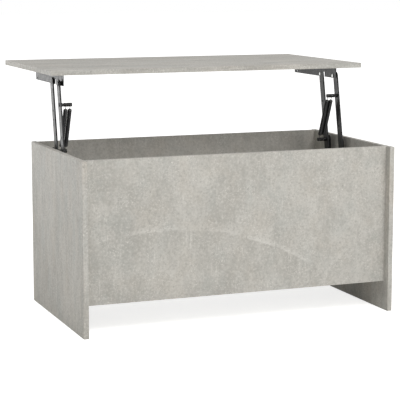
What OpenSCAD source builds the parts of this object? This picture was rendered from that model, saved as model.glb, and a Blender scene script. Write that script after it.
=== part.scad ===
// Lift top coffee table, drawn with its tabletop raised.
// Millimetres. X runs across the width, Y from the closed front (-) to the sitter's side (+), Z up.
// The origin is on the floor, at the centre of the rectangle that the two side panels stand on.
// Two arms on each side carry the tabletop on a parallelogram linkage, so it stays level as it
// swings up and towards the sitter, and a pair of springs on each side takes most of its weight.

/* [Carcass] */
// Width across the two side panels
body_w = 990; // [900:5:1100]
// Depth of the side panels
body_d = 550; // [520:5:650]
// Height of the side panels
side_h = 509.5; // [500:0.5:560]
// Thickness of every board
board_t = 15; // [15:1:18]
// How far the front panel stands behind the side panels' front edges
front_setback = 25; // [10:1:30]
// How far the back panel stands inside the side panels' back edges
back_setback = 10; // [5:1:20]
// Open height below the front and back panels
toe_h = 90.5; // [60:0.5:120]

/* [Tabletop] */
// Width of the tabletop
top_w = 1020; // [950:5:1200]
// Depth of the tabletop
top_d = 555; // [525:5:700]
// Gap between the closed tabletop and the side panels
top_gap = 0.5; // [0.3:0.1:2]

/* [Lift arms] */
// Length of an arm between its two pivots
arm_len = 215.3; // [205:0.1:220]
// Width of an arm
arm_w = 26.5; // [22:0.5:27]
// Thickness of the sheet that the arms are cut from
arm_t = 4.5; // [3.5:0.25:4.5]
// Lean of the raised arms past upright, towards the sitter
raised_lean = 11.3; // [8:0.1:14]
// Dip of the closed arms below level
closed_dip = 3.7; // [3:0.1:5]
// Distance between the front and the rear arm's pivots
pivot_pitch = 92; // [85:1:100]
// Height of the lower pivots above the floor
pivot_h = 494; // [490:0.5:496]
// Place of the front arm's lower pivot along the depth
pivot_y = 24.5; // [20:0.5:40]
// Radius of every pivot pin
pin_r = 4; // [3.5:0.25:4.5]
// Radial clearance between a pin and the arm that turns on it
pin_clearance = 0.08; // [0.05:0.01:0.1]

/* [Springs] */
// Outer diameter of a spring's coils
spring_od = 12.8; // [9:0.1:13.4]
// Diameter of the spring wire
wire_d = 1.8; // [1.2:0.1:2]
// Distance from the front arm's lower pivot to its spring stud
stud_reach = 150.5; // [140:0.5:155]

/* [Tabletop brackets] */
// Length of a bracket
bracket_len = 311; // [280:1:320]
// Height of a bracket's upright flange
bracket_h = 37; // [35:1:40]
// Thickness of the sheet that the tabletop brackets are folded from
sheet_t = 2; // [1.5:0.25:2.5]

/* [Hidden] */
$fn = 48;

// Amount by which a cut runs past the face it breaks through
past = 1;

// Carcass: planes of its boards
inner_w = body_w - 2 * board_t;
front_y = -body_d / 2 + front_setback;
back_y = body_d / 2 - back_setback;
hold_front_y = front_y + board_t;
hold_back_y = back_y - board_t;
panel_h = side_h - toe_h;
floor_mid_z = toe_h + board_t / 2;

// Linkage: how far the tabletop travels, and where it stands when raised
rise = arm_len * (cos(raised_lean) + sin(closed_dip));
travel = arm_len * (sin(raised_lean) + cos(closed_dip));
top_z = side_h + top_gap + rise;
front_pivot = [pivot_y, pivot_h];
rear_pivot = [pivot_y + pivot_pitch, pivot_h];
function along_arm(pivot, reach) = pivot + reach * [sin(raised_lean), cos(raised_lean)];
front_top_pivot = along_arm(front_pivot, arm_len);
rear_top_pivot = along_arm(rear_pivot, arm_len);

// Linkage: layers counted from the table's middle plane, towards the side panel
side_in = inner_w / 2;
plate_in = side_in - 2.5;
front_arm_x = side_in - 19;
rear_arm_x = side_in - 24.4;
flange_out = side_in - 25;
flange_in = flange_out - sheet_t;
play = 0.3;
head_play = 0.1;

// Arms: rounded ends above the upper pivot and below the lower one
arm_head = arm_w / 2 - 1;
arm_tail = 45;
stiffening_hole_r = 3.3;
rear_arm_holes = [98, 125];
front_arm_holes = [52];

// Pivot hardware
bush_r = 7;
washer_r = 7;
washer_t = 0.4;
low_head_t = 0.4;
low_head_r = 6.5;
round_head_r = 5;
round_head_t = 1.8;
outer_head_r = 7;
outer_head_t = 2;

// Spring studs: a collar at the arm, a neck that passes the bracket, a bobbin with two grooves
stud_r = 5.75;
neck_r = 4;
groove_r = 3.5;
groove_w = 3.4;
stud_end_x = side_in - 53.5;
bobbin_x = flange_in - 1;
collar_x = flange_out + 1;
outer_spring_x = side_in - 35.6;
inner_spring_x = outer_spring_x - spring_od - 0.6;

// Springs: measured along the line from the lower stud to the upper one
upper_stud = along_arm(front_pivot, stud_reach);
spring_vector = upper_stud - rear_pivot;
spring_len = norm(spring_vector);
spring_tilt = atan2(spring_vector[1], spring_vector[0]);
eye_r = 4.75;
coil_start = 14;
coil_len = spring_len - 2 * coil_start;
taper_len = 5;

// Tabletop bracket: rest position of its upright flange
bracket_y = front_top_pivot[0] - 22;
bracket_z = top_z - bracket_h;
flange_w = 25;
bend_r = 3;
slot_w = 2 * neck_r + 3;
slot_centre_y = front_top_pivot[0] + (arm_len - stud_reach) * cos(closed_dip);
slot_top_z = front_top_pivot[1] + (arm_len - stud_reach) * sin(closed_dip);
bracket_hole = [bracket_len - 18.5, 6];
bracket_hole_r = 3.2;
top_screw_ys = [14, 100, 205, 297];
screw_r = 2;
screw_head_r = 4.2;
screw_head_t = 2.4;
top_screw_len = 11;

// Base bracket: a low strip, folded inwards at its top to an ear beside each lower pivot
plate_t = side_in - plate_in;
ear_gap = 0.9;
ear_in = front_arm_x + arm_t + ear_gap;
ear_out = ear_in + plate_t;
strip_front = -24;
strip_len = 190;
strip_z = 384;
strip_h = 58;
base_screw_ys = [14, 95, 176];
base_screw_zs = [13, 45];
base_screw_len = 12;
strip_corner_r = 8;

// Board fittings
cam_r = 7.5;
cam_depth = 12.5;
cam_reach = 24;
cam_slot = [9, 1.6, 2];
bolt_r = 3.5;
bolt_bore_r = 4;
bolt_thread_r = 2.5;
bolt_thread_len = 11;
cam_heights = [toe_h + 55, side_h - 90];
floor_cam_ys = [-150, 150];
dowel_r = 4;
dowel_in_board = 20;
dowel_in_face = 10;
dowel_heights = [toe_h + 150, side_h - 160];
floor_dowel_ys = [-90, 90];
floor_dowel_xs = [-320, 0, 320];
dowel_in_panel = 8;

// Each row is a fitting at a board's end: its Y, its Z, and the turn about X of the cam's mouth
CAM_JOINTS = concat(
    [for (z = cam_heights) [front_y + board_t / 2, z, -90]],
    [for (z = cam_heights) [back_y - board_t / 2, z, 90]],
    [for (y = floor_cam_ys) [y, floor_mid_z, 180]]
);
DOWEL_JOINTS = concat(
    [for (z = dowel_heights) [front_y + board_t / 2, z]],
    [for (z = dowel_heights) [back_y - board_t / 2, z]],
    [for (y = floor_dowel_ys) [y, floor_mid_z]]
);

concrete = "#b9b6af";
concrete_edge = "#c2c0ba";
black_steel = "#2b2b2c";
zinc = "#b8bcc0";
nylon = "#242425";
beech = "#cfa979";

// ---- placing helpers ----

// Draws its children on the right-hand side, or mirrored on the left
module on_side(side) {
    mirror([side == "left" ? 1 : 0, 0, 0])
        children();
}

// A cylinder along X, centred on the point yz, from x0 to x1
module rod_x(yz, r, x0, x1) {
    translate([x0, yz[0], yz[1]])
        rotate([0, 90, 0])
            cylinder(r = r, h = x1 - x0);
}

// Places children at each cam fitting, with +X pointing out through the side panel
module at_cam_joints() {
    for (s = [0, 1], j = CAM_JOINTS)
        mirror([s, 0, 0])
            translate([inner_w / 2, j[0], j[1]])
                rotate([j[2], 0, 0])
                    children();
}

// Places children at each end dowel, with +X pointing out through the side panel
module at_end_dowels() {
    for (s = [0, 1], j = DOWEL_JOINTS)
        mirror([s, 0, 0])
            translate([inner_w / 2, j[0], j[1]])
                children();
}

// The dowels between the storage floor and the front and back panels
module floor_edge_dowels() {
    for (x = floor_dowel_xs) {
        translate([x, hold_front_y - dowel_in_panel, floor_mid_z])
            rotate([-90, 0, 0])
                cylinder(r = dowel_r, h = dowel_in_panel + dowel_in_board);
        translate([x, hold_back_y + dowel_in_panel, floor_mid_z])
            rotate([90, 0, 0])
                cylinder(r = dowel_r, h = dowel_in_panel + dowel_in_board);
    }
}

module end_dowels() {
    at_end_dowels()
        rod_x([0, 0], dowel_r, -dowel_in_board, dowel_in_face);
}

// A cam's round body, from the bottom of its pocket up
module cam_blank(h) {
    translate([-cam_reach, 0, board_t / 2 - cam_depth])
        cylinder(r = cam_r, h = h);
}

// Everything that is drilled into the boards for their fittings
module board_drillings() {
    at_cam_joints() {
        cam_blank(cam_depth + past);
        rod_x([0, 0], bolt_bore_r, -cam_reach, 0);
        rod_x([0, 0], bolt_thread_r, 0, bolt_thread_len);
    }
    end_dowels();
    floor_edge_dowels();
}

// ---- boards ----

module side_panel(side) {
    color(concrete)
        difference() {
            on_side(side)
                translate([side_in, -body_d / 2, 0])
                    cube([board_t, body_d, side_h]);
            board_drillings();
            on_side(side)
                base_screw_shanks();
        }
}

module front_panel() {
    color(concrete)
        difference() {
            translate([-inner_w / 2, front_y, toe_h])
                cube([inner_w, board_t, panel_h]);
            board_drillings();
        }
}

module back_panel() {
    color(concrete)
        difference() {
            translate([-inner_w / 2, hold_back_y, toe_h])
                cube([inner_w, board_t, panel_h]);
            board_drillings();
        }
}

module storage_floor() {
    color(concrete)
        difference() {
            translate([-inner_w / 2, hold_front_y, toe_h])
                cube([inner_w, hold_back_y - hold_front_y, board_t]);
            board_drillings();
        }
}

module tabletop() {
    color(concrete_edge)
        difference() {
            translate([-top_w / 2, travel - top_d / 2, top_z])
                cube([top_w, top_d, board_t]);
            for (side = ["left", "right"])
                on_side(side)
                    top_screw_shanks();
        }
}

// ---- board fittings ----

module cam_nuts() {
    color(zinc)
        at_cam_joints()
            difference() {
                cam_blank(cam_depth);
                rod_x([0, 0], bolt_bore_r, -cam_reach, 0);
                translate([-cam_reach, 0, board_t / 2])
                    for (a = [0, 90])
                        rotate(a)
                            cube([cam_slot[0], cam_slot[1], 2 * cam_slot[2]], center = true);
            }
}

module cam_bolts() {
    color(zinc)
        at_cam_joints() {
            rod_x([0, 0], bolt_r, -cam_reach + 1, 0);
            rod_x([0, 0], bolt_thread_r, 0, bolt_thread_len);
        }
}

module dowels() {
    color(beech) {
        end_dowels();
        floor_edge_dowels();
    }
}

// ---- base brackets, fixed inside the side panels ----

// The low strip, with its corners rounded
module strip_blank() {
    r = strip_corner_r;
    translate([plate_in, strip_front, strip_z]) {
        translate([0, r, 0])
            cube([plate_t, strip_len - 2 * r, strip_h]);
        translate([0, 0, r])
            cube([plate_t, strip_len, strip_h - 2 * r]);
        for (y = [r, strip_len - r], z = [r, strip_h - r])
            rod_x([y, z], r, 0, plate_t);
    }
}

// A strip of the same sheet that steps inwards from the low strip and stands up to a pivot
module ear(pivot) {
    step_z = strip_z + strip_h - plate_t;
    translate([ear_in, pivot[0] - arm_w / 2, step_z]) {
        cube([side_in - ear_in, arm_w, plate_t]);
        cube([plate_t, arm_w, pivot[1] - step_z]);
    }
    rod_x(pivot, arm_w / 2, ear_in, ear_out);
}

module base_bracket(side) {
    color(black_steel)
        on_side(side)
            difference() {
                union() {
                    strip_blank();
                    for (pivot = [front_pivot, rear_pivot])
                        ear(pivot);
                }
                for (pivot = [front_pivot, rear_pivot])
                    rod_x(pivot, pin_r, ear_in - past, ear_out + past);
                at_base_screws()
                    rod_x([0, 0], screw_r, -plate_t - past, past);
            }
}

// Places children at each base screw, on the side panel's inner face
module at_base_screws() {
    for (y = base_screw_ys, z = base_screw_zs)
        translate([side_in, strip_front + y, strip_z + z])
            children();
}

module base_screw_shanks() {
    at_base_screws()
        rod_x([0, 0], screw_r, -plate_t, base_screw_len);
}

module base_screws(side) {
    color(zinc)
        on_side(side) {
            base_screw_shanks();
            at_base_screws()
                pan_head(-plate_t);
        }
}

// A pan head standing off a face at x, on the side towards the table's middle
module pan_head(x) {
    translate([x, 0, 0])
        rotate([0, -90, 0])
            difference() {
                cylinder(r1 = screw_head_r, r2 = screw_head_r * 0.72, h = screw_head_t);
                translate([0, 0, screw_head_t])
                    for (a = [0, 90])
                        rotate(a)
                            cube([screw_head_r, 0.9, 2 * 1.3], center = true);
            }
}

// A ring along X, centred on the point yz
module ring_x(yz, r_out, r_in, x0, x1) {
    difference() {
        rod_x(yz, r_out, x0, x1);
        rod_x(yz, r_in, x0 - past, x1 + past);
    }
}

module lower_bushes(side) {
    color(nylon)
        on_side(side) {
            ring_x(front_pivot, bush_r, pin_r, front_arm_x + arm_t + play, ear_in);
            ring_x(rear_pivot, bush_r, pin_r, rear_arm_x + arm_t + play, ear_in);
        }
}

module front_lower_pin(side) {
    color(black_steel)
        on_side(side) {
            rod_x(front_pivot, pin_r, front_arm_x - head_play, ear_out);
            rod_x(front_pivot, low_head_r, front_arm_x - head_play - low_head_t, front_arm_x - head_play);
            rod_x(front_pivot, low_head_r, ear_out, ear_out + outer_head_t);
        }
}

// The bobbin that the springs hook onto, from the table's side towards the arm
module bobbin(yz, x_arm) {
    difference() {
        rod_x(yz, stud_r, stud_end_x, x_arm);
        for (x = [outer_spring_x, inner_spring_x])
            ring_x(yz, stud_r + past, groove_r, x - groove_w / 2, x + groove_w / 2);
    }
}

module rear_lower_stud(side) {
    color(black_steel)
        on_side(side) {
            bobbin(rear_pivot, rear_arm_x - play);
            rod_x(rear_pivot, pin_r, rear_arm_x - play, ear_out);
            rod_x(rear_pivot, low_head_r, ear_out, ear_out + outer_head_t);
        }
}

// ---- arms ----

// A flat bar with rounded ends, drilled at both pivots and at each hole listed
module arm(pivot, x, holes, hole_r) {
    difference() {
        translate([x, pivot[0], pivot[1]])
            rotate([-raised_lean, 0, 0])
                union() {
                    translate([0, -arm_w / 2, arm_w / 2 - arm_tail])
                        cube([arm_t, arm_w, arm_len + arm_head - arm_w + arm_tail]);
                    rod_x([0, arm_w / 2 - arm_tail], arm_w / 2, 0, arm_t);
                    rod_x([0, arm_len + arm_head - arm_w / 2], arm_w / 2, 0, arm_t);
                }
        for (reach = [0, arm_len])
            rod_x(along_arm(pivot, reach), pin_r + pin_clearance, x - past, x + arm_t + past);
        for (reach = holes)
            rod_x(along_arm(pivot, reach), hole_r, x - past, x + arm_t + past);
    }
}

module front_arm(side) {
    color(black_steel)
        on_side(side)
            difference() {
                arm(front_pivot, front_arm_x, front_arm_holes, stiffening_hole_r);
                rod_x(upper_stud, pin_r, front_arm_x - past, front_arm_x + arm_t + past);
            }
}

module rear_arm(side) {
    color(black_steel)
        on_side(side)
            arm(rear_pivot, rear_arm_x, rear_arm_holes, stiffening_hole_r);
}

module arm_stud(side) {
    color(black_steel)
        on_side(side) {
            bobbin(upper_stud, bobbin_x);
            rod_x(upper_stud, neck_r, bobbin_x, collar_x);
            rod_x(upper_stud, stud_r, collar_x, front_arm_x);
            rod_x(upper_stud, pin_r, front_arm_x, front_arm_x + arm_t);
            rod_x(upper_stud, stud_r, front_arm_x + arm_t, front_arm_x + arm_t + round_head_t);
        }
}

// ---- tabletop brackets and their pivots ----

module top_bracket(side) {
    color(black_steel)
        on_side(side)
            difference() {
                translate([0, bracket_y, 0])
                    union() {
                        translate([flange_in, 0, bracket_z])
                            cube([sheet_t, bracket_len, bracket_h - bend_r]);
                        translate([flange_out - flange_w, 0, top_z - sheet_t])
                            cube([flange_w - bend_r, bracket_len, sheet_t]);
                        intersection() {
                            translate([flange_out - bend_r, 0, top_z - bend_r])
                                rotate([-90, 0, 0])
                                    tube(bend_r, bend_r - sheet_t, bracket_len);
                            translate([flange_out - bend_r, 0, top_z - bend_r])
                                cube([bend_r, bracket_len, bend_r]);
                        }
                    }
                for (pivot = [front_top_pivot, rear_top_pivot])
                    rod_x(pivot, pin_r, flange_in - past, flange_out + past);
                rod_x(
                    [bracket_y, bracket_z] + bracket_hole,
                    bracket_hole_r, flange_in - past, flange_out + past
                );
                // a slot that lets the arm's stud in as the arm folds up beside the bracket
                rod_x([slot_centre_y, slot_top_z], slot_w / 2, flange_in - past, flange_out + past);
                translate([flange_in - past, slot_centre_y - slot_w / 2, bracket_z - past])
                    cube([sheet_t + 2 * past, slot_w, slot_top_z - bracket_z + past]);
                top_screw_shanks();
            }
}

// A tube along Z
module tube(r_out, r_in, len) {
    difference() {
        cylinder(r = r_out, h = len);
        translate([0, 0, -past])
            cylinder(r = r_in, h = len + 2 * past);
    }
}

// Places children at each tabletop screw, on the tabletop's underside
module at_top_screws() {
    for (y = top_screw_ys)
        translate([flange_out - flange_w / 2 - 1, bracket_y + y, top_z])
            children();
}

module top_screw_shanks() {
    at_top_screws()
        translate([0, 0, -sheet_t])
            cylinder(r = screw_r, h = sheet_t + top_screw_len);
}

module top_screws(side) {
    color(zinc)
        on_side(side) {
            top_screw_shanks();
            at_top_screws()
                translate([0, 0, -sheet_t])
                    rotate([0, -90, 0])
                        pan_head(0);
        }
}

module front_upper_pin(side) {
    color(zinc)
        on_side(side) {
            rod_x(front_top_pivot, round_head_r, flange_in - round_head_t, flange_in);
            rod_x(front_top_pivot, pin_r, flange_in, front_arm_x + arm_t + play);
            translate([front_arm_x + arm_t + play, 0, 0])
                rod_x(front_top_pivot, outer_head_r, 0, outer_head_t);
        }
}

module rear_upper_pin(side) {
    color(zinc)
        on_side(side) {
            rod_x(rear_top_pivot, round_head_r, flange_in - round_head_t, flange_in);
            rod_x(rear_top_pivot, pin_r, flange_in, rear_arm_x + arm_t + head_play);
            translate([rear_arm_x + arm_t + head_play, 0, 0])
                rod_x(rear_top_pivot, low_head_r, 0, low_head_t);
        }
}

module upper_bush(side) {
    color(nylon)
        on_side(side)
            ring_x(front_top_pivot, bush_r, pin_r, flange_out, front_arm_x - play);
}

module upper_washers(side) {
    color(nylon)
        on_side(side)
            ring_x(rear_top_pivot, washer_r, pin_r, flange_out, flange_out + washer_t);
}

// ---- springs ----

// Draws its children with +X along the spring's line, starting at the lower stud's centre
module along_spring(x) {
    translate([x, rear_pivot[0], rear_pivot[1]])
        rotate([spring_tilt, 0, 0])
            rotate([0, 0, 90])
                children();
}

// A wire eye around a stud, and its straight shank towards the coils
module eye(shank_len) {
    rotate([90, 0, 0])
        rotate_extrude()
            translate([eye_r, 0])
                circle(d = wire_d);
    translate([eye_r, 0, 0])
        rotate([0, 90, 0])
            cylinder(d = wire_d, h = shank_len);
}

module spring(side, x) {
    color(black_steel)
        on_side(side)
            along_spring(x) {
                eye(coil_start - eye_r);
                translate([coil_start, 0, 0])
                    rotate([0, 90, 0]) {
                        cylinder(d1 = spring_od / 2, d2 = spring_od, h = taper_len);
                        translate([0, 0, taper_len])
                            cylinder(d = spring_od, h = coil_len - 2 * taper_len);
                        translate([0, 0, coil_len - taper_len])
                            cylinder(d1 = spring_od, d2 = spring_od / 2, h = taper_len);
                    }
            }
}

module spring_end(side, x) {
    color(zinc)
        on_side(side)
            along_spring(x)
                translate([spring_len, 0, 0])
                    rotate([0, 0, 180])
                        eye(spring_len - coil_start - coil_len - eye_r);
}

side_panel("left");  // side_panel_left
side_panel("right");  // side_panel_right
front_panel();
back_panel();
storage_floor();
tabletop();
cam_nuts();
cam_bolts();
dowels();
base_bracket("left");  // base_bracket_left
base_bracket("right");  // base_bracket_right
base_screws("left");  // base_screws_left
base_screws("right");  // base_screws_right
lower_bushes("left");  // lower_bushes_left
lower_bushes("right");  // lower_bushes_right
front_lower_pin("left");  // front_lower_pin_left
front_lower_pin("right");  // front_lower_pin_right
rear_lower_stud("left");  // rear_lower_stud_left
rear_lower_stud("right");  // rear_lower_stud_right
front_arm("left");  // front_arm_left
front_arm("right");  // front_arm_right
rear_arm("left");  // rear_arm_left
rear_arm("right");  // rear_arm_right
arm_stud("left");  // arm_stud_left
arm_stud("right");  // arm_stud_right
top_bracket("left");  // top_bracket_left
top_bracket("right");  // top_bracket_right
top_screws("left");  // top_screws_left
top_screws("right");  // top_screws_right
front_upper_pin("left");  // front_upper_pin_left
front_upper_pin("right");  // front_upper_pin_right
rear_upper_pin("left");  // rear_upper_pin_left
rear_upper_pin("right");  // rear_upper_pin_right
upper_bush("left");  // upper_bush_left
upper_bush("right");  // upper_bush_right
upper_washers("left");  // upper_washers_left
upper_washers("right");  // upper_washers_right
spring("left", outer_spring_x);  // outer_spring_left
spring("right", outer_spring_x);  // outer_spring_right
spring("left", inner_spring_x);  // inner_spring_left
spring("right", inner_spring_x);  // inner_spring_right
spring_end("left", outer_spring_x);  // outer_spring_end_left
spring_end("right", outer_spring_x);  // outer_spring_end_right
spring_end("left", inner_spring_x);  // inner_spring_end_left
spring_end("right", inner_spring_x);  // inner_spring_end_right
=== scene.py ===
# %% [markdown]
# # A lift top coffee table
#
# The table is already designed as an exact model. Its boards, arms, pins and screws all
# stand where they belong. This notebook gives it its looks: the finish of every material, real wound
# springs in place of plain stand-ins, soft light and a camera. It never moves a designed part. It
# starts by loading them as a fixed frame, in metres, with Z up.

# %% Load the designed parts
import math

import bmesh
import bpy
from mathutils import Matrix, Vector


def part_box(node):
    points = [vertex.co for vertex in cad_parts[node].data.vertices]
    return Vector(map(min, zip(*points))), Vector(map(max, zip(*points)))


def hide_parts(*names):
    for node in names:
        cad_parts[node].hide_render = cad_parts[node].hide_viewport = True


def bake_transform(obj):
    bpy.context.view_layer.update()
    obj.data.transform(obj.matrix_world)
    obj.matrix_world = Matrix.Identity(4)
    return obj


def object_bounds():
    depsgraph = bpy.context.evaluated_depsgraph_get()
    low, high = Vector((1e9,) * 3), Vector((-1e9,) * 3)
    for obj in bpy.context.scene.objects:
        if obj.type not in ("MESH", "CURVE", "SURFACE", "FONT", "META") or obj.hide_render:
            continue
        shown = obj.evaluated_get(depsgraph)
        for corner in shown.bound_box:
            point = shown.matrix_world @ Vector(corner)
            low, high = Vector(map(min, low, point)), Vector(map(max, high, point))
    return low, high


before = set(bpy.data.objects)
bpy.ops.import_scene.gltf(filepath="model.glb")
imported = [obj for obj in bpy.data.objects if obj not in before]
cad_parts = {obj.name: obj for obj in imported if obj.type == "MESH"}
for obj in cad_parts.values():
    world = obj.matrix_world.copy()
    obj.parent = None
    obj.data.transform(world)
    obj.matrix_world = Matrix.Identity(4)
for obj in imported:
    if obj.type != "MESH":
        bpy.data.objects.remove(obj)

cad_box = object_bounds()

# %% [markdown]
# ## Units and small helpers
#
# The makers of furniture think in millimetres, Blender in metres, so one value turns the first into
# the second. Colours are written as the hex values that a colour picker shows. Shader sockets want
# linear light, so one function turns them. Most of a material is nodes with settings and links, so
# one function adds a node and does both.

# %% Units, colours and nodes
MM = 0.001
SIDES = ("left", "right")


def linear(hex_colour):
    """An sRGB hex colour as the linear RGBA value that a shader socket takes."""
    channels = [int(hex_colour[i:i + 2], 16) / 255 for i in (1, 3, 5)]
    return [c / 12.92 if c <= 0.04045 else ((c + 0.055) / 1.055) ** 2.4 for c in channels] + [1]


def add_node(tree, kind, inputs=None, links=None, **settings):
    """Adds a node. settings are its own properties, inputs its socket values, links its sources."""
    node = tree.nodes.new("ShaderNode" + kind)
    for name, value in settings.items():
        setattr(node, name, value)
    for name, value in (inputs or {}).items():
        node.inputs[name].default_value = value
    for name, source in (links or {}).items():
        tree.links.new(source, node.inputs[name])
    return node


def new_material(name, **surface):
    """A material with one Principled surface. surface gives the values of the sockets it sets."""
    material = bpy.data.materials.new(name)
    material.use_nodes = True
    tree = material.node_tree
    tree.nodes.clear()
    values = {socket.replace("_", " "): value for socket, value in surface.items()}
    surface_node = add_node(tree, "BsdfPrincipled", inputs=values)
    add_node(tree, "OutputMaterial", links={"Surface": surface_node.outputs["BSDF"]})
    return material, tree, surface_node


# %% [markdown]
# ## The camera
#
# A low table is shown well from the height of a standing person's waist, off one front corner, with
# a long lens that keeps its edges close to parallel. A slight lens shift lets the camera look a
# little less steeply down, which keeps upright edges closer to upright. The camera aims very near
# the middle of the whole table, so its place follows from the table's own box.

# %% Camera
turn = math.radians(21.39)
look_down = math.radians(8.11)
distance = 4.689
aim_offset = Vector((20.5, 7, 3)) * MM

low, high = cad_box
middle = (low + high) / 2
forward = Vector((
    math.sin(turn) * math.cos(look_down),
    math.cos(turn) * math.cos(look_down),
    -math.sin(look_down),
))
lens = bpy.data.cameras.new("portrait_lens")
lens.lens = 132
lens.shift_y = -0.05
camera = bpy.data.objects.new("portrait_camera", lens)
camera.location = middle + aim_offset - forward * distance
camera.rotation_euler = forward.to_track_quat("-Z", "Y").to_euler()
bpy.context.scene.collection.objects.link(camera)
bpy.context.scene.camera = camera
print("camera height:", round(camera.location.z, 3), "m")

# %% [markdown]
# ## Floor and light
#
# The table stands on white paper, in a room that is white and even. The paper looks lit from below,
# as on a studio's light table, but it sends none of that glow up at the table. Three softboxes shape
# the light: a key above and in front, a weak fill from the left, and a low panel behind the table on
# its left, which the satin metal mirrors as a pale sheen. The colours are shown without a film look,
# so that a board's grey stays the grey that was chosen for it.

# %% Floor, room and softboxes
scene = bpy.context.scene
scene.view_settings.view_transform = "Standard"
scene.view_settings.look = "None"

floor_half = 30
floor_gap = 0.2 * MM
floor_mesh = bpy.data.meshes.new("studio_floor")
floor_mesh.from_pydata(
    [(-floor_half, -floor_half, 0), (floor_half, -floor_half, 0),
     (floor_half, floor_half, 0), (-floor_half, floor_half, 0)],
    [], [(0, 1, 2, 3)],
)
floor = bpy.data.objects.new("studio_floor", floor_mesh)
floor.location.z = low.z - floor_gap
scene.collection.objects.link(floor)
paper, tree, surface = new_material(
    "white_lit_floor",
    Base_Color=linear("#f2f2f0"),
    Roughness=0.9,
    Emission_Color=linear("#ffffff"),
)
seen = add_node(tree, "LightPath").outputs["Is Camera Ray"]
glow = add_node(tree, "Math", operation="MULTIPLY", inputs={1: 0.75}, links={0: seen})
tree.links.new(glow.outputs[0], surface.inputs["Emission Strength"])
floor_mesh.materials.append(paper)

room = bpy.data.worlds.new("white_room")
scene.world = room
room.use_nodes = True
tree = room.node_tree
tree.nodes.clear()
room_light = add_node(tree, "Background", inputs={"Color": linear("#ffffff"), "Strength": 0.55})
room_seen = add_node(tree, "Background", inputs={"Color": linear("#ffffff"), "Strength": 1.0})
room_mix = add_node(tree, "MixShader", links={
    0: add_node(tree, "LightPath").outputs["Is Camera Ray"],
    1: room_light.outputs[0],
    2: room_seen.outputs[0],
})
add_node(tree, "OutputWorld", links={"Surface": room_mix.outputs[0]})


def softbox(name, place, size, power):
    """A square area light that faces the table and isn't seen itself."""
    light = bpy.data.lights.new(name, "AREA")
    light.shape = "SQUARE"
    light.size = size
    light.energy = power
    box = bpy.data.objects.new(name, light)
    box.location = place
    box.rotation_euler = (middle - Vector(place)).to_track_quat("-Z", "Y").to_euler()
    box.visible_camera = False
    scene.collection.objects.link(box)


softbox("key_softbox", (0.7, -2.8, 3.2), 1.8, 86)
softbox("left_fill_softbox", (-3.0, 0.7, 1.5), 1.6, 9)
softbox("left_sheen_softbox", (-1.6, 2.9, 0.5), 1.0, 9)

# %% [markdown]
# ## Concrete-look laminate
#
# The boards are chipboard faced with melamine paper, printed to look like trowelled concrete. The
# print is a warm light grey with soft clouds the size of a hand, a finer mottle, faint warmer and
# cooler patches, clusters of pale flecks, a few dark pits, and wide arcs where the trowel swept. A
# scan of the print could be wrapped on, but a print built from noise has no seams and stays sharp
# from any side. The whole table is one block of this noise, so each board shows its own part of it,
# and the clouds are stretched along the grain of each board: upright on the side panels, across the
# width on the tabletop.
#
# Melamine has the IOR of most plastics, about 1.5, and this one is pressed matt, with a roughness
# from 0.48 to 0.60 that varies with the print. Its relief is a few hundredths of a millimetre.

# %% Concrete-look laminate
CONCRETE = {
    "body": "#b7b4ad",
    "shade": "#a3a099",
    "bloom": "#c6c3bc",
    "warm": "#bdb3a5",
    "cool": "#a8aeab",
    "fleck": "#dfdcd6",
    "pit": "#86837c",
}


def noise_at(tree, where, size_mm, detail, roughness=0.55, distortion=0.0):
    """Noise whose features are about size_mm across, on coordinates in metres."""
    inputs = {
        "Scale": 1 / (size_mm * MM),
        "Detail": detail,
        "Roughness": roughness,
        "Distortion": distortion,
    }
    return add_node(tree, "TexNoise", inputs=inputs, links={"Vector": where}).outputs["Fac"]


def stretched(tree, where, stretch):
    """Coordinates on which a pattern comes out longer by stretch along X, Y and Z."""
    shrink = [1 / s for s in stretch]
    return add_node(tree, "Mapping", links={"Vector": where}, inputs={"Scale": shrink}).outputs[0]


def span(tree, value, low_in, high_in, low_out=0.0, high_out=1.0):
    """Value mapped smoothly from one span to another and held at its ends."""
    inputs = {"From Min": low_in, "From Max": high_in, "To Min": low_out, "To Max": high_out}
    node = add_node(tree, "MapRange", inputs=inputs, links={"Value": value},
                    interpolation_type="SMOOTHSTEP")
    return node.outputs["Result"]


def times(tree, a, b):
    """The product of two values."""
    return add_node(tree, "Math", operation="MULTIPLY", links={0: a, 1: b}).outputs[0]


def laid_over(tree, under, mask, colour):
    """A colour laid over another where the mask is 1. A Mix node's two colours are sockets 6 and 7."""
    node = add_node(tree, "Mix", data_type="RGBA", inputs={7: linear(colour)},
                    links={"Factor": mask, 6: under})
    return node.outputs[2]


def mottled(tree, colour, noise, strength, reach=0.16, tones=("bloom", "shade")):
    """Blotches of two tones laid over a colour, on the two sides of a noise's middle."""
    for tone, way in zip(tones, (1, -1)):
        blotches = span(tree, noise, 0.5, 0.5 + way * reach, 0, strength)
        colour = laid_over(tree, colour, blotches, CONCRETE[tone])
    return colour


# %% [markdown]
# A trowel arc is a circle's edge: pale paste is pushed up in a thin rim, and the swept side is a
# little darker. The distance from the arc's centre gives both. Noise makes the circle wander inside
# a band of 26 mm, as a hand does, and a second noise breaks the rim so that it comes and goes.

# %% Trowel arcs
WANDER = 26 * MM
WANDER_WAVE_MM = 180
RIM_BREAK_MM = 80
SWEPT_WIDTH = 150 * MM
RIM_INNER = 1 * MM
RIM_RISE = 4 * MM
RIM_END = 22 * MM


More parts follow.
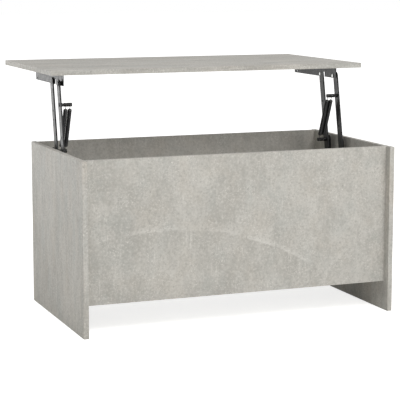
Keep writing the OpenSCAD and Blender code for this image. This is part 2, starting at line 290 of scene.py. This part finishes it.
def trowel_arc(tree, place, colour, centre_x, centre_z, radius, strength):
    """Lays one arc over the colour. Its centre and radius are in mm, on the X and Z of the table."""
    offset = add_node(tree, "VectorMath", operation="SUBTRACT", links={0: place},
                      inputs={1: (centre_x * MM, 0, centre_z * MM)})
    flat = add_node(tree, "VectorMath", operation="MULTIPLY", inputs={1: (1, 0, 1)},
                    links={0: offset.outputs[0]})
    reach = add_node(tree, "VectorMath", operation="LENGTH", links={0: flat.outputs[0]}).outputs["Value"]
    reach = add_node(tree, "Math", operation="MULTIPLY_ADD", inputs={1: WANDER},
                     links={0: noise_at(tree, place, WANDER_WAVE_MM, 3), 2: reach}).outputs[0]
    edge = radius * MM + WANDER / 2
    crest = edge + RIM_RISE
    broken = noise_at(tree, place, RIM_BREAK_MM, 5, 0.65)
    swept = times(tree, span(tree, reach, edge - SWEPT_WIDTH, edge), span(tree, reach, edge, crest, 1, 0))
    swept = times(tree, swept, span(tree, broken, 0.35, 0.65, 0.3 * strength, strength))
    colour = laid_over(tree, colour, swept, CONCRETE["shade"])
    rim_up = span(tree, reach, edge - RIM_INNER, crest)
    rim = times(tree, rim_up, span(tree, reach, crest, edge + RIM_END, 1, 0))
    rim = times(tree, rim, span(tree, broken, 0.42, 0.62, 0.1 * strength, 0.8 * strength))
    return laid_over(tree, colour, rim, CONCRETE["fleck"])


# %% [markdown]
# The layers go down in turn: clouds, mottle, warm and cool patches, arcs, drawn-out streaks, grain,
# pale flecks in clusters, hair-thin scratches and last the pits. The pits also sink into the surface.
# The names that end in _MM are the sizes of each layer's features in millimetres, and the two DRAW
# values are how much further the streaks and the scratches are drawn out than the clouds.

# %% The whole print
CLOUD_MM = 130
PATCH_MM = 75
CLUSTER_MM = 60
MOTTLE_MM = 26
STREAK_MM = 16
PIT_MM = 8
GRAIN_MM = 7
FLECK_MM = 5
HAIR_MM = 4
RELIEF_MM = 1.6
STREAK_DRAW = 2.5
HAIR_DRAW = 20


def concrete_laminate(name, stretch, streaks, tints, arcs=()):
    """The printed concrete. stretch lengthens its clouds along X, Y and Z. streaks and tints are how
    strong its drawn-out lines and its warm and cool patches are. arcs lists each arc's centre X,
    centre Z, radius and strength."""
    material, tree, surface = new_material(name, IOR=1.5)
    place = add_node(tree, "TexCoord").outputs["Object"]
    cloud_place = stretched(tree, place, stretch)
    line_place = stretched(tree, place, [s * STREAK_DRAW if s > 1 else s for s in stretch])
    hair_place = stretched(tree, place, [s * HAIR_DRAW if s == max(stretch) else s for s in stretch])

    clouds = noise_at(tree, cloud_place, CLOUD_MM, 5, 0.6, 0.4)
    ramp = add_node(tree, "ValToRGB", links={"Fac": clouds})
    ramp.color_ramp.elements[0].position = 0.24
    ramp.color_ramp.elements[0].color = linear(CONCRETE["shade"])
    ramp.color_ramp.elements[1].position = 0.78
    ramp.color_ramp.elements[1].color = linear(CONCRETE["bloom"])
    ramp.color_ramp.elements.new(0.5).color = linear(CONCRETE["body"])
    mottle = noise_at(tree, cloud_place, MOTTLE_MM, 7, 0.7)
    colour = mottled(tree, ramp.outputs["Color"], mottle, 0.3)
    patches = noise_at(tree, cloud_place, PATCH_MM, 4, 0.6)
    colour = mottled(tree, colour, patches, tints, tones=("warm", "cool"))
    for arc in arcs:
        colour = trowel_arc(tree, place, colour, *arc)
    colour = mottled(tree, colour, noise_at(tree, line_place, STREAK_MM, 5, 0.6), streaks)
    grain = noise_at(tree, place, GRAIN_MM, 5, 0.75)
    colour = mottled(tree, colour, grain, 0.9, 0.18)

    clusters = span(tree, noise_at(tree, place, CLUSTER_MM, 4, 0.6), 0.42, 0.62, 0.12, 1)
    flecks = span(tree, noise_at(tree, place, FLECK_MM, 4, 0.8), 0.53, 0.66, 0, 0.9)
    colour = laid_over(tree, colour, times(tree, clusters, flecks), CONCRETE["fleck"])
    hairs = span(tree, noise_at(tree, hair_place, HAIR_MM, 3, 0.6), 0.60, 0.72, 0, 0.45)
    colour = laid_over(tree, colour, times(tree, clusters, hairs), CONCRETE["fleck"])
    pits = span(tree, noise_at(tree, place, PIT_MM, 2, 0.6), 0.33, 0.22, 0, 0.6)
    colour = laid_over(tree, colour, pits, CONCRETE["pit"])

    tree.links.new(colour, surface.inputs["Base Color"])
    tree.links.new(span(tree, grain, 0.3, 0.7, 0.60, 0.48), surface.inputs["Roughness"])
    relief = noise_at(tree, place, RELIEF_MM, 4, 0.65)
    bump = add_node(tree, "Bump", inputs={"Strength": 0.35, "Distance": 0.06 * MM}, links={"Height": relief})
    sunk = add_node(tree, "Bump", inputs={"Strength": 0.5, "Distance": 0.15 * MM}, invert=True,
                    links={"Height": pits, "Normal": bump.outputs[0]})
    tree.links.new(sunk.outputs[0], surface.inputs["Normal"])
    return material


wide_arc = (-232, -569, 862, 0.5)
side_arc = (560, -60, 330, 0.3)
front_laminate = concrete_laminate(
    "front_concrete_laminate", stretch=(1, 1, 1.25), streaks=0.25, tints=0.2, arcs=(wide_arc, side_arc))
side_laminate = concrete_laminate(
    "side_concrete_laminate", stretch=(0.8, 0.8, 2.4), streaks=0.55, tints=0.35)
top_laminate = concrete_laminate(
    "top_concrete_laminate", stretch=(2.6, 0.8, 0.8), streaks=0.8, tints=0.25)

# %% [markdown]
# ## Black powder coat
#
# The arms and brackets are punched from steel sheet, and black powder is melted on in an oven. The
# film is a satin plastic skin with a faint orange peel, a little under a millimetre from bump to
# bump, and it is slightly worn in patches. It is modelled as the skin that it is: a dark plastic with
# an IOR of 1.5, not a metal.

# %% Black powder coat
def powder_coat(name, colour, worn, roughness):
    """A satin black skin with orange peel, and slightly worn patches."""
    material, tree, surface = new_material(name, IOR=1.5)
    place = add_node(tree, "TexCoord").outputs["Object"]
    patches = noise_at(tree, place, 18, 5, 0.65)
    base = add_node(tree, "Mix", data_type="RGBA", inputs={6: linear(colour), 7: linear(worn)},
                    links={"Factor": span(tree, patches, 0.50, 0.75)})
    tree.links.new(base.outputs[2], surface.inputs["Base Color"])
    sheen = span(tree, patches, 0.3, 0.7, roughness + 0.05, roughness - 0.05)
    tree.links.new(sheen, surface.inputs["Roughness"])
    peel = noise_at(tree, place, 0.8, 2, 0.5)
    bump = add_node(tree, "Bump", inputs={"Strength": 0.4, "Distance": 0.03 * MM}, links={"Height": peel})
    tree.links.new(bump.outputs[0], surface.inputs["Normal"])
    return material


black_coat = powder_coat("black_powder_coat", "#121213", "#1c1c1d", 0.40)
black_stud_finish = powder_coat("black_moulded_stud", "#101011", "#191919", 0.50)

# %% [markdown]
# ## Zinc, spring wire, nylon and beech
#
# Screws and cams are steel with bright zinc plate: a metal, fairly smooth, with a faint milky
# bloom. The springs are wound from hard drawn wire that has been blackened in oil. Their hooks have
# rubbed back to bare grey steel, and the same light grey on the tapered end turns is a painted
# highlight. The bushes are moulded nylon, dyed black, with a waxy skin. The dowels are turned beech,
# with short dark rays along the grain.

# %% Zinc plate
zinc_plate, tree, surface = new_material("bright_zinc_plate", Metallic=1.0)
place = add_node(tree, "TexCoord").outputs["Object"]
bloom = noise_at(tree, place, 3, 4, 0.6)
zinc_colour = add_node(tree, "Mix", data_type="RGBA", links={"Factor": span(tree, bloom, 0.4, 0.65)},
                       inputs={6: linear("#c9cbca"), 7: linear("#dcdcd8")})
tree.links.new(zinc_colour.outputs[2], surface.inputs["Base Color"])
tree.links.new(span(tree, bloom, 0.35, 0.65, 0.22, 0.38), surface.inputs["Roughness"])

# %% [markdown]
# The upper pivot pins are rivets. They are blackened first, and then their inner ends are hammered
# over the bracket, which cracks the black off and leaves a bright head. One material can do both,
# because the bracket's sheet divides them: what lies nearer the table's middle than the sheet is bare.

# %% Riveted pins, black outside and bright inside
rivet_finish, tree, surface = new_material("blackened_rivet_with_bright_end")
bracket_sheet_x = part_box("top_bracket_right")[1].x - 1 * MM
place = add_node(tree, "TexCoord").outputs["Object"]
across = add_node(tree, "SeparateXYZ", links={0: place}).outputs["X"]
from_middle = add_node(tree, "Math", operation="ABSOLUTE", links={0: across}).outputs[0]
bare = span(tree, from_middle, bracket_sheet_x, bracket_sheet_x - 0.5 * MM)
hammered = noise_at(tree, place, 2, 4, 0.6)
bright = add_node(tree, "Mix", data_type="RGBA", links={"Factor": hammered},
                  inputs={6: linear("#b9bbba"), 7: linear("#e3e3e0")})
rivet_colour = add_node(tree, "Mix", data_type="RGBA", links={"Factor": bare, 7: bright.outputs[2]},
                        inputs={6: linear("#19191a")})
tree.links.new(rivet_colour.outputs[2], surface.inputs["Base Color"])
tree.links.new(bare, surface.inputs["Metallic"])
tree.links.new(span(tree, hammered, 0.3, 0.7, 0.42, 0.30), surface.inputs["Roughness"])

# %% Blackened spring wire, and light grey wire for bare hooks and painted highlights
def spring_wire(name, colour, rubbed, roughness):
    """Drawn steel wire with fine lengthwise marks and rubbed patches."""
    material, tree, surface = new_material(name, Metallic=1.0)
    place = add_node(tree, "TexCoord").outputs["Object"]
    marks = noise_at(tree, place, 2.5, 5, 0.7)
    base = add_node(tree, "Mix", data_type="RGBA", inputs={6: linear(colour), 7: linear(rubbed)},
                    links={"Factor": span(tree, marks, 0.52, 0.72)})
    tree.links.new(base.outputs[2], surface.inputs["Base Color"])
    sheen = span(tree, marks, 0.3, 0.7, roughness + 0.06, roughness - 0.06)
    tree.links.new(sheen, surface.inputs["Roughness"])
    bump = add_node(tree, "Bump", inputs={"Strength": 0.3, "Distance": 0.02 * MM}, links={"Height": marks})
    tree.links.new(bump.outputs[0], surface.inputs["Normal"])
    return material


black_wire = spring_wire("oil_blackened_spring_wire", "#4a4a4b", "#6c6c6b", 0.34)
# Light grey wire: bare steel on the hooks, and a painted highlight on the end turns next to them.
bare_and_highlight_wire = spring_wire("bare_hook_and_painted_highlight_wire", "#7d7d7b", "#a6a6a3", 0.32)

# %% Nylon
nylon, tree, surface = new_material("black_moulded_nylon", IOR=1.53)
place = add_node(tree, "TexCoord").outputs["Object"]
flow = noise_at(tree, place, 6, 3)
nylon_colour = add_node(tree, "Mix", data_type="RGBA", links={"Factor": flow},
                        inputs={6: linear("#19191a"), 7: linear("#262627")})
tree.links.new(nylon_colour.outputs[2], surface.inputs["Base Color"])
tree.links.new(span(tree, flow, 0.3, 0.7, 0.50, 0.38), surface.inputs["Roughness"])

# %% Turned beech
beech, tree, surface = new_material("turned_beech", Roughness=0.6, IOR=1.5)
place = add_node(tree, "TexCoord").outputs["Object"]
along_dowel = add_node(tree, "Mapping", links={"Vector": place}, inputs={"Scale": (0.15, 1, 1)}).outputs[0]
grain = noise_at(tree, along_dowel, 1.2, 4, 0.6)
beech_colour = add_node(tree, "Mix", data_type="RGBA", links={"Factor": span(tree, grain, 0.42, 0.62)},
                        inputs={6: linear("#c39a68"), 7: linear("#d8b587")})
tree.links.new(beech_colour.outputs[2], surface.inputs["Base Color"])
bump = add_node(tree, "Bump", inputs={"Strength": 0.4, "Distance": 0.05 * MM}, links={"Height": grain})
tree.links.new(bump.outputs[0], surface.inputs["Normal"])
print("materials:", len(bpy.data.materials))

# %% [markdown]
# ## Dressing the designed parts
#
# Each designed part keeps its shape and takes a finish. No real edge is perfectly sharp: banded board
# edges are trimmed to about half a millimetre, powder rounds punched steel, and turned or pressed
# heads have a small break. A bevel stands for this. It may not overlap itself, so the fine facets of
# round holes and heads hold it back: brackets, bushes and washers get all of it, the arms about a
# quarter, and all other parts so little that their edges stay sharp. The parts come in with every
# face loose, so a weld comes first, and weighted normals keep the broad faces flat.

# %% Finish and edge break of each kind of part
WELD_REACH = 0.002 * MM
SHARP_ANGLE = math.radians(35)
BEVEL_SEGMENTS = 2


def dress(part_name, finish, edge_mm):
    """Gives a designed part its finish and breaks its sharp edges, by edge_mm at the most."""
    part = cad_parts[part_name]
    for slot in part.material_slots:
        slot.material = finish
    weld = part.modifiers.new("weld", "WELD")
    weld.merge_threshold = WELD_REACH
    bevel = part.modifiers.new("edge_break", "BEVEL")
    bevel.width = edge_mm * MM
    bevel.segments = BEVEL_SEGMENTS
    bevel.limit_method = "ANGLE"
    bevel.angle_limit = SHARP_ANGLE
    bevel.use_clamp_overlap = True
    smooth = part.modifiers.new("flat_faces", "WEIGHTED_NORMAL")
    smooth.keep_sharp = False


FINISHES = {
    "side_panel": (side_laminate, 0.6),
    "front_panel": (front_laminate, 0.6),
    "back_panel": (front_laminate, 0.6),
    "storage_floor": (front_laminate, 0.6),
    "tabletop": (top_laminate, 0.6),
    "cam_nuts": (zinc_plate, 0.2),
    "cam_bolts": (zinc_plate, 0.2),
    "dowels": (beech, 0.6),
    "base_bracket": (black_coat, 0.3),
    "base_screws": (zinc_plate, 0.15),
    "lower_bushes": (nylon, 0.3),
    "front_lower_pin": (black_coat, 0.15),
    "rear_lower_stud": (black_stud_finish, 0.3),
    "front_arm": (black_coat, 0.5),
    "rear_arm": (black_coat, 0.5),
    "arm_stud": (black_stud_finish, 0.3),
    "top_bracket": (black_coat, 0.3),
    "top_screws": (zinc_plate, 0.15),
    "front_upper_pin": (rivet_finish, 0.4),
    "rear_upper_pin": (rivet_finish, 0.15),
    "upper_bush": (nylon, 0.3),
    "upper_washers": (nylon, 0.1),
}
for part_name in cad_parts:
    kind = part_name.removesuffix("_left").removesuffix("_right")
    if kind in FINISHES:
        dress(part_name, *FINISHES[kind])
print("dressed:", sum(bool(o.modifiers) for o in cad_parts.values()), "parts")

# %% [markdown]
# ## The springs
#
# Each spring is one wire: a hook round the lower stud, a straight shank, a tapered start, about 70
# close turns, and the same again up to the arm's stud. The designed part has a plain rod of the same
# outer size in place of the turns. The real turns open as the table closes. A curve with a bevel could
# draw the wire; here the wire's centre line is worked out point by point, and a ring of vertices is
# swept along it as a mesh. The ring is carried along without twisting.

# %% Size of a spring
WIRE_D = 1.8 * MM
COIL_R = 12.8 * MM / 2 - WIRE_D / 2
HOOK_R = 4.75 * MM
COIL_START = 14 * MM
TAPER_LEN = 4 * MM
# How far from each end the wire is light grey: bare steel on the hooks, a painted highlight on the first
# turns.
BARE_AND_HIGHLIGHT_LEN = 18 * MM
TURN_PITCH = 1.93 * MM
HOOK_GAP = math.radians(60)
HOOK_STEPS = 28
STEPS_PER_TURN = 18
SHANK_STEPS = (0, 0.25, 0.5, 0.8)
RING_POINTS = 10


# %% Centre line of the wire
def smooth_step(t):
    """Eases from 0 to 1."""
    t = min(max(t, 0), 1)
    return t * t * (3 - 2 * t)


def hook_points():
    """Points round a stud at the origin, from the hook's tip to where it meets the shank at +X."""
    angles = [HOOK_GAP + (2 * math.pi - HOOK_GAP) * i / HOOK_STEPS for i in range(HOOK_STEPS)]
    return [Vector((HOOK_R * math.cos(a), HOOK_R * math.sin(a), 0)) for a in angles]


def wire_line(length):
    """Centre line of the whole wire, with the lower stud at 0 and the upper stud at length on X."""
    points = hook_points()
    shank = COIL_START - HOOK_R
    points += [Vector((HOOK_R + shank * t, 0, 0)) for t in SHANK_STEPS]
    coil_len = length - 2 * COIL_START
    steps = round(coil_len / TURN_PITCH) * STEPS_PER_TURN
    for i in range(steps + 1):
        along = coil_len * i / steps
        from_end = min(along, coil_len - along)
        radius = COIL_R * smooth_step(from_end / TAPER_LEN)
        angle = 2 * math.pi * i / STEPS_PER_TURN
        points.append(Vector((COIL_START + along, radius * math.cos(angle), radius * math.sin(angle))))
    points += [Vector((length - HOOK_R - shank * t, 0, 0)) for t in reversed(SHANK_STEPS)]
    far_hook = [Vector((length - p.x, -p.y, 0)) for p in reversed(hook_points())]
    return points + far_hook


# %% [markdown]
# Sweeping a ring along the line needs a direction across the wire at every point. Turning the last
# direction by the smallest angle that fits the new one keeps the ring from spinning, which would
# show as a twist in the wire's highlights.

# %% A wire mesh along a line
def wire_mesh(name, points, radius):
    """A closed round wire along points, with flat ends."""
    builder = bmesh.new()
    across = Vector((0, 0, 1))
    old_way = None
    rings = []
    for i, point in enumerate(points):
        before = points[max(i - 1, 0)]
        after = points[min(i + 1, len(points) - 1)]
        way = (after - before).normalized()
        if old_way is not None:
            across = old_way.rotation_difference(way) @ across
        across = (across - way * across.dot(way)).normalized()
        side = way.cross(across)
        old_way = way
        ring = []
        for k in range(RING_POINTS):
            a = 2 * math.pi * k / RING_POINTS
            ring.append(builder.verts.new(point + (across * math.cos(a) + side * math.sin(a)) * radius))
        rings.append(ring)
    for one, two in zip(rings, rings[1:]):
        for k in range(RING_POINTS):
            n = (k + 1) % RING_POINTS
            builder.faces.new((one[k], one[n], two[n], two[k])).smooth = True
    builder.faces.new(reversed(rings[0]))
    builder.faces.new(rings[-1])
    mesh = bpy.data.meshes.new(name)
    builder.to_mesh(mesh)
    builder.free()
    return mesh


# %% Wind and hang the four springs
def stud_axis(node):
    """Middle of a round part that lies along X, as a point in the table's middle plane."""
    corner_a, corner_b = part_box(node)
    return Vector((0, (corner_a.y + corner_b.y) / 2, (corner_a.z + corner_b.z) / 2))


for side in SIDES:
    lower_stud = stud_axis(f"rear_lower_stud_{side}")
    upper_stud = stud_axis(f"arm_stud_{side}")
    line = upper_stud - lower_stud
    along = line.normalized()
    flat_normal = Vector((1, 0, 0))
    axes = Matrix((along, flat_normal.cross(along), flat_normal)).transposed().to_4x4()
    for place_name in ("outer", "inner"):
        spring_name = f"{place_name}_spring_{side}"
        near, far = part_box(spring_name)
        mesh = wire_mesh(f"{place_name}_coil_{side}", wire_line(line.length), WIRE_D / 2)
        for finish in (black_wire, bare_and_highlight_wire):
            mesh.materials.append(finish)
        for face in mesh.polygons:
            # Faces near either end take the light grey wire: bare steel on the hooks, a painted highlight on
            # the end turns.
            in_coil = BARE_AND_HIGHLIGHT_LEN < face.center.x < line.length - BARE_AND_HIGHLIGHT_LEN
            face.material_index = 0 if in_coil else 1
        mesh.transform(Matrix.Translation(lower_stud + Vector(((near.x + far.x) / 2, 0, 0))) @ axes)
        spring = bpy.data.objects.new(f"{place_name}_coil_{side}", mesh)
        scene.collection.objects.link(spring)
        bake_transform(spring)
        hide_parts(spring_name, f"{place_name}_spring_end_{side}")
        print(spring.name, "length", round(line.length / MM, 1), "mm,", len(mesh.vertices), "vertices")
